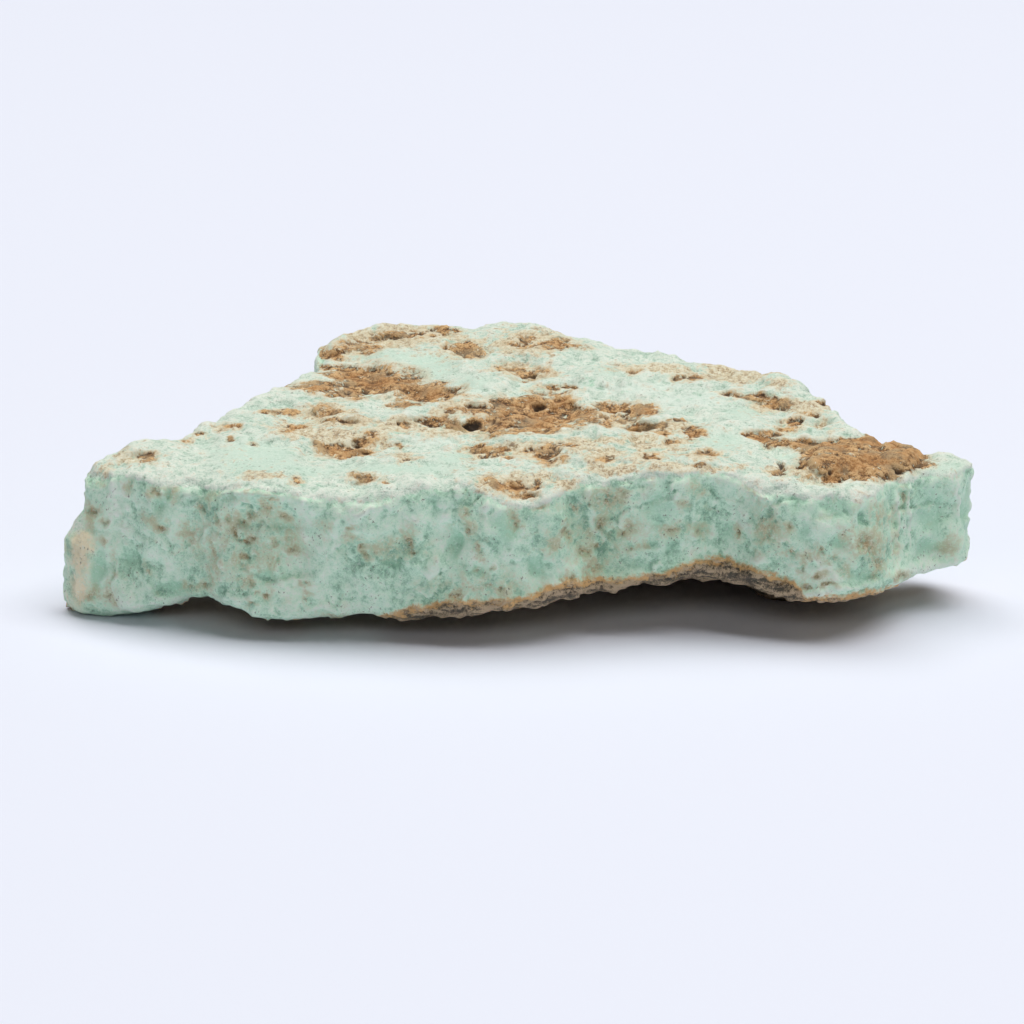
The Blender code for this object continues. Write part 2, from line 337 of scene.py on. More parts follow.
def flat_breaks(where, size, seed):
    """Height of small flat breaks that lean each its own way, in millimetres. Each is what lies
    nearest to one of the centres, which are scattered one to a cell as wide as size."""
    place = where / size
    cell = np.floor(place)
    nearest = np.full(len(where), np.inf)
    offset, lot = np.zeros_like(where), np.zeros_like(where)
    for step in itertools.product((-1, 0, 1), repeat=3):
        drawn = lots(cell + step, seed)
        away = place - cell - step - drawn
        distance = np.sqrt((away**2).sum(axis=1))
        nearer = distance < nearest
        nearest[nearer] = distance[nearer]
        offset[nearer] = away[nearer]
        lot[nearer] = drawn[nearer]
    return size * (offset * (2 * lot[:, ::-1] - 1)).sum(axis=1)


WANDER = 0.5  # how far the edges of all the marks wander, millimetres
WANDER_WIDTH = 2.2
WANDER_SEEDS = (3, 5, 7)  # across, from front to back, and up
FRAME = 1024  # width and height of the camera's frame, pixels
SENSOR = 36.0  # width of the camera's sensor, millimetres

# One mark on the stone as the camera sees it: its middle, half width and half height in pixels of the
# frame, how strongly it shows, and its turn in degrees. Marks are judged and named by feature.
Mark = namedtuple("Mark", "across down half_width half_height strength turn", defaults=(0,))
MARK_REACH = 2.0  # how much nearer or farther than its middle a mark may show, millimetres
SLANT_REACH = 4.0  # and how much more than that for each millimetre of its half height
hull = BVHTree.FromObject(coarse, bpy.context.evaluated_depsgraph_get())
camera_turn = camera.rotation_euler.to_matrix()
eye = np.array(camera.location) / MM - front_middle
right_axis, up_axis, back_axis = np.array(camera_turn.transposed())
focal = FRAME * LENS / SENSOR


def seen(across, down):
    """The point of the stone that shows at a place in the frame, or next below it."""
    place = None
    while place is None:
        ray = camera_turn @ Vector((across - FRAME / 2, FRAME / 2 - down, -focal))
        place = hull.ray_cast(camera.location, ray.normalized())[0]
        down += 1
        if down > FRAME:
            raise ValueError(f"no stone shows in the frame's column {across}")
    return np.array(place) / MM - front_middle


def in_frame(where):
    """How far across and down the frame points show, in pixels, and how far off they are."""
    far = (eye - where) @ back_axis
    across = FRAME / 2 + (where - eye) @ right_axis * focal / far
    down = FRAME / 2 - (where - eye) @ up_axis * focal / far
    return across, down, far


def patches(features):
    """How strongly each point belongs to one of the marks: 1 / e of its strength at its edge."""
    field = np.zeros(count)
    for mark in itertools.starmap(Mark, itertools.chain(*features.values())):
        middle = in_frame(seen(mark.across, mark.down))[2]
        cos, sin = math.cos(math.radians(mark.turn)), math.sin(math.radians(mark.turn))
        right, over = across - mark.across, mark.down - down
        along = (right * cos + over * sin) / mark.half_width
        beside = (over * cos - right * sin) / mark.half_height
        reach = MARK_REACH + SLANT_REACH * mark.half_height * middle / focal
        near = rise(-np.abs(far - middle), -1.5 * reach, -reach)
        field = np.maximum(field, mark.strength * np.exp(-(along**2) - beside**2) * near)
    return field


# The upper face, the underside, the sides and the rim between them, from how each point's
# surroundings face, and the long broken side among the sides.
EVEN_ROUNDS = 24
TOP_FACING = (0.25, 0.72)
UNDER_FACING = (0.2, 0.6)
FRONT_FACING = (-0.15, 0.3)
FRONT_END = (-24, -18)  # where the long side ends, in millimetres forward of its middle

normals = normals_now()
even = np.stack([spread(normals[:, axis], EVEN_ROUNDS) for axis in range(3)], axis=1)
even /= np.linalg.norm(even, axis=1)[:, None]
top = rise(even[:, 2], *TOP_FACING)
under = rise(-even[:, 2], *UNDER_FACING)
side = 1 - top - under
rim = 4 * top * side
x, y, z = points.T
front = rise(-even[:, 1], *FRONT_FACING) * rise(-y, *FRONT_END)
wander = [WANDER * lumps(points, WANDER_WIDTH, seed, 3) for seed in WANDER_SEEDS]
# the marks' edges wander half as far up and down on the upper face, which is seen at a slant
shaken = np.stack((wander[0], wander[1], wander[2] * (1 - 0.5 * top)), axis=1)
across, down, far = in_frame(points + shaken)

# The broken edges of the upper face are a little worn, and the first lobe rolls over in a soft brow.
EDGE_ROUNDS = 36
EDGE_WEAR = 0.6
BROW_ROUNDS = 120
BROW = {"brow of the first lobe": [(228, 474, 78, 18, 1.0)]}


def worn_down(rounds, share):
    """The points, moved by a share towards the mean place of those around them."""
    around = np.stack([spread(points[:, axis], rounds) for axis in range(3)], axis=1)
    return points + (around - points) * share[:, None]


points = worn_down(EDGE_ROUNDS, EDGE_WEAR * rim * (1 - under))
points = worn_down(BROW_ROUNDS, patches(BROW))  # x, y, z and the marks stay those of the unworn stone

# --- The stone: brown ironstone rind --------------------------------------------------------------
# Earthy rust-brown crust that grew on the stone in the ground. On the upper face it is left in
# hollows, and stands up as a thick crust at the right end. It is layered, grainy and pitted.

RIND = {
    "patch at the back left": [
        (377, 380, 34, 13, 1.1), (352, 374, 26, 7, 0.9), (318, 387, 26, 6, 0.95), (345, 392, 22, 6, 1.0),
        (330, 367, 26, 3, 0.6), (400, 384, 22, 12, 1.05), (432, 393, 26, 9, 1.1), (402, 404, 16, 3, 0.8),
    ],
    "ridge along the back left edge": [
        (333, 353, 14, 5, 0.9), (362, 346, 26, 7, 0.6), (402, 335, 34, 6, 0.6), (440, 331, 20, 4, 0.55),
    ],
    "spots towards the back": [
        (465, 349, 17, 8, 0.8), (478, 352, 8, 6, 0.7), (528, 343, 20, 9, 0.55), (556, 344, 18, 6, 0.85),
        (579, 348, 10, 3, 0.6), (514, 368, 10, 5, 0.6), (499, 368, 6, 4, 0.6), (527, 375, 14, 5, 0.8),
        (540, 371, 12, 5, 0.7), (553, 388, 10, 3.4, 0.7), (570, 388, 12, 2, 0.75),
    ],
    "dark cave and what lies round it": [
        (436, 421, 18, 5, 1.0), (456, 424, 14, 6, 1.0), (472, 424, 12, 7, 1.0), (476, 407, 18, 5, 0.6),
        (450, 410, 8, 4, 0.65),
    ],
    "long patch across the middle": [
        (505, 412, 18, 14, 1.05), (500, 424, 14, 10, 1.0), (530, 405, 26, 10, 1.1), (560, 404, 16, 9, 1.0),
        (540, 420, 34, 12, 1.15), (575, 416, 20, 9, 1.05), (532, 430, 22, 5, 0.9), (590, 414, 10, 5, 0.85),
    ],
    "right end of the long patch": [
        (614, 408, 18, 6, 1.0), (640, 410, 16, 7, 1.05), (625, 418, 16, 6, 0.6), (606, 424, 10, 6, 0.6),
        (634, 429, 14, 5, 0.95), (663, 432, 9, 4, 0.9), (676, 420, 9, 2.4, 0.75), (692, 431, 9, 5, 0.95),
        (655, 424, 20, 4, 0.6),
    ],
    "spots at the back right": [
        (689, 377, 15, 4, 0.75), (634, 374, 6, 3, 0.5), (731, 395, 9, 3.5, 0.6), (748, 396, 14, 3, 0.75),
        (776, 404, 14, 6, 0.95), (760, 400, 10, 4, 0.7), (797, 421, 8, 3.5, 0.8), (788, 429, 8, 4, 0.7),
        (815, 414, 10, 5, 0.55), (822, 404, 7, 4, 0.6),
    ],
    "streak that leads to the raised crust": [
        (762, 437, 15, 5, 1.05), (777, 442, 13, 4, 1.05), (812, 444, 24, 4, 1.0), (796, 443, 16, 4, 0.95),
    ],
    "raised crust": [
        (824, 462, 20, 8, 1.15), (845, 468, 26, 12, 1.2), (875, 462, 28, 14, 1.2), (900, 456, 20, 14, 1.2),
        (915, 456, 10, 10, 1.1), (835, 448, 30, 8, 1.1), (870, 444, 30, 7, 1.15), (896, 448, 20, 8, 1.1),
        (830, 477, 16, 6, 0.9), (925, 463, 10, 4, 0.85), (812, 455, 10, 10, 0.9),
    ],
    "small spots at the left": [
        (147, 457, 9, 5, 0.95), (200, 433, 6, 2.4, 0.7), (229, 426, 9, 3, 0.8), (186, 441, 7, 3, 0.6),
        (230, 439, 5, 2.6, 0.75), (251, 444, 4, 3, 0.55), (272, 411, 8, 2.4, 0.65), (288, 411, 14, 3.4, 0.65),
    ],
    "pitted area left of the middle": [
        (294, 429, 11, 3.6, 0.9), (320, 444, 7, 4, 0.75), (331, 449, 14, 6, 0.8), (343, 455, 9, 4, 0.9),
        (353, 452, 10, 5, 0.85), (361, 451, 12, 5, 0.8), (366, 441, 12, 6, 0.6), (375, 433, 9, 5, 0.65),
        (327, 409, 16, 6, 0.55), (338, 421, 20, 3, 0.6), (403, 425, 6, 5, 0.5), (399, 445, 4, 3, 0.55),
    ],
    "small spots along the front rim": [
        (362, 477, 11, 3.4, 0.9), (384, 482, 5, 2.6, 0.6), (296, 481, 4, 3, 0.5), (404, 457, 5, 3.4, 0.5),
        (468, 468, 3, 3, 0.5), (517, 488, 14, 7, 0.95), (487, 480, 8, 4, 0.6), (497, 487, 7, 5, 0.75),
        (538, 484, 6, 5, 0.75), (530, 496, 10, 4, 0.8),
    ],
    "pitted area right of the middle": [
        (485, 450, 14, 6, 0.75), (502, 451, 8, 4, 0.85), (510, 458, 6, 3, 0.55), (530, 451, 14, 4, 0.5),
        (546, 455, 12, 8, 0.95), (556, 452, 8, 6, 0.8), (569, 444, 9, 3, 0.65), (604, 458, 10, 4, 0.5),
        (607, 460, 6, 4, 0.6), (648, 458, 9, 5, 0.75), (707, 454, 12, 3, 0.65), (703, 465, 14, 2.6, 0.55),
        (678, 441, 12, 2.4, 0.55), (780, 471, 7, 5, 0.75), (801, 467, 10, 4, 0.5), (812, 476, 12, 4, 0.5),
    ],
}

CRUST = {
    "raised crust alone": [
        (824, 462, 18, 7, 1), (846, 467, 26, 11, 1), (876, 461, 28, 13, 1), (902, 456, 18, 12, 1),
        (838, 449, 26, 7, 1), (872, 445, 28, 6, 1), (896, 449, 18, 7, 1),
    ],
}
CRUST_END = {"thick right end of the raised crust": [(902, 456, 18, 12, 1), (896, 449, 18, 7, 1)]}

# Deep pits and slots, painted dark inside as shade.
HOLES = {
    "slots of the back left patch": [
        (366, 389, 8, 5, 1.15), (347, 391, 6, 3, 0.9), (334, 397, 11, 1.8, 0.75), (298, 390, 7, 2.4, 0.55),
        (389, 372, 4, 3, 0.7), (402, 388, 4, 3, 0.45), (416, 395, 4, 3, 0.55),
    ],
    "cave": [(473, 424, 9, 6.5, 1.35), (455, 422, 8, 3, 0.7)],
    "slots of the long patch": [
        (508, 413, 9, 3, 1.0), (537, 408, 12, 5, 1.1), (496, 420, 4, 5, 0.6), (508, 425, 7, 3.6, 0.8),
        (545, 428, 7, 3.4, 0.85), (531, 433, 11, 2, 0.85), (560, 398, 7, 2.4, 0.55), (575, 424, 6, 2.4, 0.5),
        (634, 430, 10, 3.4, 0.95), (663, 432, 5, 3, 0.95), (691, 434, 7, 2.4, 0.75), (677, 420, 8, 1.6, 0.85),
        (622, 405, 5, 2, 0.55), (640, 404, 4, 2, 0.5),
    ],
    "pits towards the back": [
        (499, 368, 4, 3, 0.8), (527, 376, 9, 3.6, 1.0), (570, 388, 11, 1.8, 0.85), (478, 354, 8, 5, 0.45),
        (823, 404, 6, 4, 0.7), (817, 415, 9, 4.4, 0.85), (746, 396, 8, 2, 0.5),
    ],
    "pits of the raised crust": [
        (810, 461, 6, 4.6, 1.0), (830, 471, 3.4, 5.4, 1.1), (898, 470, 8, 3, 1.0), (910, 461, 8, 7, 0.7),
        (925, 463, 8, 2.4, 0.9), (846, 454, 4, 3, 0.7), (863, 461, 4, 3, 0.65), (862, 438, 12, 2.4, 0.7),
        (874, 455, 3, 3, 0.6), (889, 460, 3, 3, 0.6), (852, 463, 3, 2.4, 0.6), (838, 459, 2.4, 2.4, 0.6),
    ],
    "pits in front of the raised crust": [
        (779, 465, 3.4, 3, 1.15), (771, 460, 3, 2.4, 0.75), (794, 480, 3, 1.6, 0.7),
    ],
    "pits left of the middle": [
        (358, 443, 7, 5, 1.05), (375, 434, 6, 4, 0.75), (343, 455, 4, 3, 0.75), (362, 452, 6, 3, 0.8),
        (331, 447, 3, 2, 0.5), (169, 463, 4, 4, 0.6), (145, 459, 5, 3, 0.7), (399, 445, 3, 2.4, 0.6),
    ],
    "pits right of the middle": [
        (547, 456, 8, 5, 0.9), (556, 450, 3, 3, 0.7), (538, 452, 3, 2, 0.6), (648, 457, 2.6, 4, 0.85),
        (503, 451, 3, 2, 0.5), (606, 460, 2.4, 2, 0.5),
    ],
    "notch in the front rim": [(517, 489, 9, 4, 0.75), (528, 497, 8, 2.4, 0.5)],
}

RIND_SINK = 0.12  # all heights and depths are in millimetres
CRUST_RISE = 0.15
CRUST_END_RISE = 0.50
HOLE_DEPTH = 0.85
RIND_LAYER = 0.20  # thickness of one layer of the rind
RIND_LAYER_WIDTH = 3.0
RIND_LUMPS = 0.16
RIND_PITTING = 0.10
RAGGED_RIND = 0.34  # how ragged the edge of the rind is, as a share of a mark's strength
RAGGED_HOLES = 0.30
RAGGED_FROM = (0.02, 0.30)  # the strengths of a mark between which its edge grows ragged
RIND_EDGE = (0.20, 0.40)
CRUST_EDGE = (0.26, 0.42)
HOLE_EDGE = (0.36, 1.30)
LAYERS = 2.2  # how many layers lie above and below the middle one
LAYER_EDGE = (0.35, 0.60)  # the part of each layer's rise that its edge takes up
ALONG_GRAIN = (0.7, 1, 1)  # the rind's lumps are longer from left to right


def layered(thickness, width, seed):
    """Height of thin, flat-lying layers with ragged edges, in millimetres."""
    layer = lumps(points * (0.6, 1, 0), width, seed, 4) * LAYERS
    return thickness * (np.floor(layer) + rise(layer - np.floor(layer), *LAYER_EDGE))


rind_field = patches(RIND) * rise(even[:, 2], 0.1, 0.5)
hole_field = patches(HOLES) * rise(even[:, 2], 0.0, 0.4)
crust = rise(patches(CRUST) * rise(even[:, 2], 0.0, 0.3), *CRUST_EDGE)
rind_field += RAGGED_RIND * lumps(points * ALONG_GRAIN, 1.5, 11, 4) * rise(rind_field, *RAGGED_FROM)
rinded = rise(rind_field, *RIND_EDGE)
ragged = RAGGED_HOLES * lumps(points, 1.0, 12, 3) * rise(hole_field, *RAGGED_FROM)
holed = rise(hole_field + ragged, *HOLE_EDGE)

rind_move = layered(RIND_LAYER, RIND_LAYER_WIDTH, 13)
rind_move = rind_move + RIND_LUMPS * lumps(points * ALONG_GRAIN, 1.2, 14, 3)
rind_move = rind_move - RIND_PITTING * np.abs(lumps(points, 0.9, 15, 2))
move = rinded * (rind_move - RIND_SINK * (1 - crust)) + CRUST_RISE * crust - HOLE_DEPTH * holed
move += CRUST_END_RISE * crust * rise(patches(CRUST_END), 0.2, 0.8)

# --- The stone: cream skin of the upper face ------------------------------------------------------
# The vein's weathered skin: mint white, powdery and thinly layered, with tan and rusty speckled
# areas, and smooth mint swales where the skin is worn through.

SMOOTH_MINT = {
    "lobe that rolls over the front edge": [(256, 459, 46, 19, 1.0), (300, 472, 50, 8, 0.7)],
    "swale between the rind patches": [
        (432, 366, 26, 15, 1.0), (470, 384, 20, 9, 0.8), (385, 355, 44, 6, 0.8),
    ],
    "front half": [
        (405, 468, 70, 7, 0.8), (455, 458, 28, 7, 0.7), (722, 442, 26, 12, 0.8), (745, 414, 26, 7, 0.7),
        (700, 430, 20, 6, 0.5), (788, 456, 18, 6, 0.6), (214, 449, 14, 4, 0.6), (810, 432, 26, 4, 0.5),
        (560, 470, 24, 3, 0.5), (600, 470, 50, 3, 0.4),
    ],
    "towards the back": [
        (300, 370, 24, 8, 0.6), (490, 346, 12, 8, 0.5), (530, 390, 24, 4, 0.5), (610, 372, 24, 6, 0.6),
        (830, 395, 12, 6, 0.5),
    ],
    "right end": [(945, 468, 24, 8, 0.7)],
}

WHITE = {
    "sugary belt across the back": [
        (640, 388, 60, 8, 0.9), (700, 400, 56, 10, 0.9), (585, 384, 30, 6, 0.7), (560, 394, 26, 5, 0.7),
        (500, 392, 30, 5, 0.6), (610, 400, 30, 4, 0.6), (750, 425, 26, 5, 0.5),
    ],
    "in front of the cave": [(430, 440, 30, 6, 0.9), (410, 446, 24, 4, 0.6)],
    "left of the back left patch": [(345, 360, 26, 5, 0.6), (390, 350, 30, 5, 0.6)],
    "left end": [(160, 450, 20, 5, 0.4), (240, 436, 30, 5, 0.3)],
    "front rim": [
        (860, 481, 34, 4, 0.8), (940, 452, 18, 5, 0.6), (735, 455, 30, 5, 0.5), (700, 478, 20, 3, 0.5),
        (330, 462, 30, 5, 0.4),
    ],
}

TAN = {
    "speckled area left of the middle": [
        (327, 411, 24, 10, 0.9), (340, 422, 36, 5, 0.9), (346, 441, 34, 12, 1.0), (300, 432, 26, 8, 0.8),
        (376, 433, 22, 10, 0.8), (283, 412, 18, 4, 0.8), (262, 424, 24, 5, 0.4),
    ],
    "round the cave and the long patch": [
        (470, 407, 30, 8, 0.7), (452, 432, 70, 6, 0.6), (400, 426, 26, 8, 0.7), (612, 421, 24, 8, 0.8),
        (675, 427, 26, 5, 0.8), (435, 414, 14, 6, 0.5),
    ],
    "speckled belt right of the middle": [
        (488, 451, 24, 9, 0.9), (530, 450, 26, 9, 0.8), (548, 456, 18, 9, 0.95), (604, 457, 30, 8, 0.8),
        (648, 458, 20, 8, 0.9), (572, 444, 34, 6, 0.8), (620, 440, 60, 5, 0.7), (700, 455, 30, 5, 0.8),
        (690, 467, 52, 4, 0.8), (680, 440, 22, 4, 0.7), (650, 448, 50, 6, 0.5), (404, 456, 16, 8, 0.6),
    ],
    "towards the back": [
        (528, 343, 34, 13, 1.0), (466, 349, 26, 12, 0.7), (400, 335, 60, 11, 1.0), (345, 350, 24, 8, 0.8),
        (514, 369, 24, 8, 0.8), (542, 372, 18, 6, 0.8), (553, 388, 18, 4, 0.7),
    ],
    "back right": [
        (655, 369, 44, 5, 0.8), (690, 377, 22, 5, 0.8), (738, 372, 40, 10, 0.9), (728, 364, 26, 4, 0.9),
        (775, 384, 24, 6, 0.5), (774, 404, 24, 8, 0.9), (812, 408, 22, 8, 0.9), (791, 426, 16, 7, 0.8),
        (738, 396, 20, 5, 0.7), (822, 422, 14, 10, 0.5),
    ],
    "in front of the raised crust": [(802, 470, 22, 8, 0.6), (777, 471, 14, 7, 0.6)],
    "along the front rim": [(610, 470, 40, 5, 0.6), (675, 469, 36, 5, 0.9)],
    "round the notch in the front rim": [
        (514, 484, 36, 12, 0.9), (487, 480, 16, 7, 0.7), (562, 484, 24, 8, 0.6), (540, 476, 20, 6, 0.6),
    ],
    "left end": [
        (146, 457, 18, 7, 0.6), (228, 428, 18, 4, 0.6), (190, 440, 16, 5, 0.6), (126, 456, 14, 8, 0.7),
        (103, 470, 10, 8, 0.5), (258, 474, 34, 5, 0.4), (296, 480, 10, 5, 0.5), (361, 478, 18, 5, 0.6),
    ],
}

SKIN_LAYER = 0.17
SKIN_LAYER_WIDTH = 5.5
SKIN_LUMPS = 0.12
SKIN_GRAIN = 0.08
SKIN_SWELLS = 0.10
TAN_PITTING = 0.16
SMOOTHED = 0.85  # how much of the scales and lumps is missing from the smooth swales

smooth_field = patches(SMOOTH_MINT)
white_field = patches(WHITE)
tan_field = patches(TAN)
scaly = 1 - SMOOTHED * rise(smooth_field, 0.25, 0.6)
skin_move = layered(SKIN_LAYER, SKIN_LAYER_WIDTH, 21) * scaly
skin_move += (SKIN_LUMPS * lumps(points, 1.6, 22, 3) + SKIN_GRAIN * lumps(points, 0.7, 23)) * scaly
skin_move += SKIN_SWELLS * lumps(points, 5.0, 24)
skin_move -= TAN_PITTING * rise(tan_field, 0.1, 0.5) * np.abs(lumps(points, 1.0, 25, 2)) * scaly
move += top * (1 - rinded) * (1 - crust) * skin_move

# --- The stone: fresh breaks of the sides ---------------------------------------------------------
# Hackly, sugary chalcedony: small flat breaks, pale powdery crests and plates, smooth glassy green
# hollows, and streaks where rust crept into the stone.

CLEAN = {
    "left end": [
        (97, 572, 9, 20, 0.9), (130, 562, 16, 12, 0.8), (170, 590, 22, 9, 0.9), (160, 506, 13, 12, 0.7),
        (168, 498, 6, 9, 1.0),
    ],
    "first lobe": [(228, 497, 24, 6, 0.7), (270, 575, 20, 9, 0.9), (285, 528, 16, 8, 0.6)],
    "middle": [
        (310, 530, 12, 6, 0.5), (370, 492, 9, 4, 0.9), (437, 503, 6, 10, 0.6), (392, 562, 14, 5, 0.8),
        (455, 545, 8, 20, 0.9), (475, 572, 15, 8, 0.8), (506, 528, 13, 18, 1.0), (540, 568, 15, 10, 0.9),
    ],
    "right of the slanting ridge": [
        (598, 483, 14, 6, 0.6), (658, 508, 15, 22, 1.0), (650, 545, 14, 8, 0.7), (672, 548, 10, 8, 0.7),
        (640, 565, 14, 8, 0.5), (728, 530, 12, 14, 0.5),
    ],
    "right-hand lobe": [
        (795, 500, 13, 13, 0.9), (835, 507, 23, 15, 1.0), (865, 520, 5, 9, 1.1), (835, 540, 14, 10, 0.8),
        (805, 530, 10, 12, 0.6), (866, 575, 18, 9, 0.8),
    ],
    "right end": [
        (935, 512, 20, 28, 0.9), (932, 513, 5, 5, 1.1), (928, 545, 16, 12, 0.8), (968, 515, 6, 32, 0.9),
    ],
}

STAIN = {
    "left end": [
        (92, 512, 4, 5, 1.1), (92, 525, 3, 7, 0.6), (104, 523, 3, 3, 0.8), (103, 483, 4, 2, 0.6),
        (129, 484, 3, 6, 0.6), (155, 488, 8, 6, 0.7), (157, 493, 4, 3, 0.9), (175, 492, 3, 8, 0.7),
        (159, 526, 6, 4, 1.1, -30), (152, 519, 8, 5, 0.6), (102, 545, 3, 4, 0.7), (148, 569, 4, 4, 0.7),
        (113, 575, 3, 20, 0.5), (93, 596, 7, 6, 0.9), (109, 598, 4, 3, 0.9), (112, 607, 4, 3, 0.7),
    ],
    "under the brow of the first lobe": [
        (204, 507, 4, 7, 0.9), (211, 493, 3, 5, 0.6), (214, 518, 4, 9, 0.85), (190, 524, 7, 2, 0.6),
        (193, 536, 9, 10, 0.5), (250, 488, 10, 4, 0.5), (267, 503, 8, 9, 0.85), (284, 515, 11, 5, 0.8, -30),
        (229, 522, 3, 3, 0.8),
    ],
    "wide haze of the first lobe": [(243, 540, 36, 34, 0.15)],
    "orange streak down the first lobe": [
        (247, 514, 5, 4, 1.0), (242, 524, 4, 6, 1.1), (237, 536, 3, 7, 1.1), (244, 542, 7, 2, 1.1),
        (250, 539, 3, 2, 1.0), (243, 556, 4, 6, 0.9), (240, 566, 4, 8, 0.6),
    ],
    "below the streak": [
        (213, 550, 2, 25, 0.6), (207, 572, 2, 12, 0.5), (206, 584, 4, 3, 1.0), (192, 588, 6, 4, 0.8),
        (249, 584, 8, 5, 0.9), (265, 594, 5, 4, 0.9), (255, 592, 4, 3, 0.7), (250, 604, 3, 2, 0.7),
        (275, 560, 6, 8, 0.5), (274, 545, 3, 5, 0.7), (293, 537, 5, 5, 0.6), (293, 548, 6, 5, 0.8),
        (305, 600, 3, 4, 0.8), (302, 585, 4, 2, 0.9), (335, 614, 14, 3, 0.8),
    ],
    "middle": [
        (322, 525, 5, 4, 0.5), (349, 530, 3, 2, 0.7), (350, 540, 6, 3, 0.5), (360, 545, 4, 4, 1.1),
        (366, 555, 7, 4, 0.9, -40), (388, 548, 12, 8, 0.55), (411, 545, 8, 10, 0.8), (415, 554, 6, 4, 1.0),
        (471, 530, 5, 6, 0.9), (465, 512, 5, 8, 0.6), (478, 547, 3, 10, 0.7, 15), (474, 571, 2, 2, 0.8),
        (492, 567, 2, 2, 0.8), (457, 596, 8, 6, 0.9), (485, 588, 14, 6, 0.6), (500, 589, 5, 4, 1.0),
        (517, 526, 3, 4, 1.0), (515, 518, 6, 6, 0.6), (483, 588, 45, 9, 0.3),
    ],
    "left of the slanting ridge": [
        (552, 545, 8, 10, 0.5), (566, 530, 5, 13, 0.8), (577, 510, 4, 5, 0.9), (589, 506, 3, 4, 0.9),
        (598, 499, 3, 2, 0.8), (598, 525, 34, 36, 0.15),
    ],
    "foot of the slanting ridge": [
        (585, 552, 6, 6, 1.1), (597, 545, 4, 4, 1.0), (593, 566, 11, 9, 0.7), (572, 575, 8, 6, 0.6),
    ],
    "right of the slanting ridge": [
        (608, 500, 13, 11, 0.85), (603, 520, 5, 9, 0.8), (630, 528, 8, 8, 0.8), (627, 533, 4, 3, 1.1),
        (616, 550, 5, 5, 0.5), (641, 545, 3, 2, 1.0), (632, 550, 3, 2, 0.9), (626, 491, 4, 3, 0.9),
        (672, 532, 12, 6, 0.7), (697, 530, 8, 6, 0.6), (697, 490, 7, 5, 0.6), (684, 504, 5, 4, 0.6),
        (738, 534, 3, 6, 1.0),
    ],
    "right-hand lobe": [
        (752, 487, 6, 5, 0.6), (766, 528, 10, 17, 0.7), (788, 530, 4, 5, 0.8), (790, 552, 5, 4, 1.1),
        (788, 552, 9, 6, 0.6), (803, 555, 5, 4, 0.8), (802, 566, 3, 5, 0.8), (823, 552, 8, 4, 0.8),
        (832, 560, 6, 3, 0.6), (850, 532, 6, 8, 0.6), (872, 545, 15, 13, 1.0), (860, 548, 3, 5, 1.1),
        (880, 517, 8, 9, 0.7), (880, 563, 4, 8, 0.9), (875, 576, 4, 5, 0.7), (848, 570, 5, 5, 0.6),
        (818, 575, 7, 3, 1.1), (805, 586, 7, 4, 1.1), (825, 585, 9, 2, 1.0),
    ],
    "right end": [(903, 495, 2, 10, 0.9), (900, 577, 6, 3, 0.9), (948, 545, 8, 8, 0.4)],
    "notch in the front rim": [
        (514, 489, 10, 5, 1.2), (530, 500, 16, 3, 1.2, -15), (541, 505, 6, 3, 1.1), (537, 492, 12, 5, 0.5),
    ],
}

# Pale and powdery.
CREST = {
    "left end": [
        (116, 575, 3, 22, 0.6), (145, 590, 14, 14, 0.5), (188, 490, 10, 14, 0.7), (221, 565, 5, 12, 0.7),
        (193, 536, 8, 9, 0.6), (165, 480, 20, 5, 0.6),
    ],
    "brow of the first lobe": [(245, 478, 45, 6, 1.0), (210, 478, 12, 10, 0.8)],
    "middle": [
        (345, 497, 16, 8, 0.6), (368, 513, 14, 4, 0.9, 25), (390, 505, 10, 6, 0.7), (445, 505, 8, 6, 0.6),
        (460, 490, 14, 6, 0.8), (432, 565, 6, 14, 1.0), (487, 508, 4, 10, 0.7), (350, 580, 30, 8, 0.4),
        (400, 596, 30, 5, 0.4),
    ],
    "slanting ridge": [(588, 492, 6, 10, 0.8), (594, 522, 4, 22, 0.9, 18), (578, 505, 6, 12, 0.5)],
    "right of the slanting ridge": [
        (712, 530, 5, 16, 0.5), (745, 520, 8, 25, 0.7), (760, 560, 14, 10, 0.6), (735, 470, 16, 6, 0.7),
    ],
    "plates of the right-hand lobe": [
        (820, 486, 24, 3, 1.1), (866, 492, 16, 3, 1.1), (872, 482, 20, 3, 1.0), (893, 505, 3, 14, 0.9),
        (815, 594, 18, 3, 1.0), (850, 588, 30, 4, 0.6),
    ],
    "right end": [
        (896, 520, 2, 30, 0.9), (909, 515, 2, 40, 0.8), (958, 500, 3, 20, 0.7), (920, 478, 12, 5, 0.6),
    ],
    "lower edge at the left": [(170, 600, 30, 4, 0.6), (230, 600, 30, 5, 0.7), (330, 606, 50, 4, 0.6)],
}

PEACH = {"worn foot at the left end": [(80, 545, 10, 28, 1.0), (78, 590, 11, 20, 0.7)]}

SWELL = {"left end of the back ridge": [(330, 364, 15, 14, 1.0)]}
SWELL_RISE = 1.4
BREAK_SIZES = (5.4, 2.4, 1.2)  # width of the flat breaks, millimetres
BREAK_LEAN = 0.05
BREAK_RAGGED = 0.8  # how ragged their edges are, as a share of how far the marks' edges wander
FLUTES = 0.12  # unevenness that runs up and down the breaks
SIDE_LUMPS = 0.12
SIDE_GRAIN = 0.05
SIDE_NICKS = 0.12
CREST_STEP = 0.20  # how far crests stand up and clean hollows sink in
FRONT_CREST_STEP = 0.22  # and how much more than that on the long side
STAIN_SINK = 0.25

clean_field = patches(CLEAN) * front
stain_field = patches(STAIN) * front
crest_field = patches(CREST) * front
peach_field = patches(PEACH) * (1 - rise(y, 14, 22)) * (1 - top)

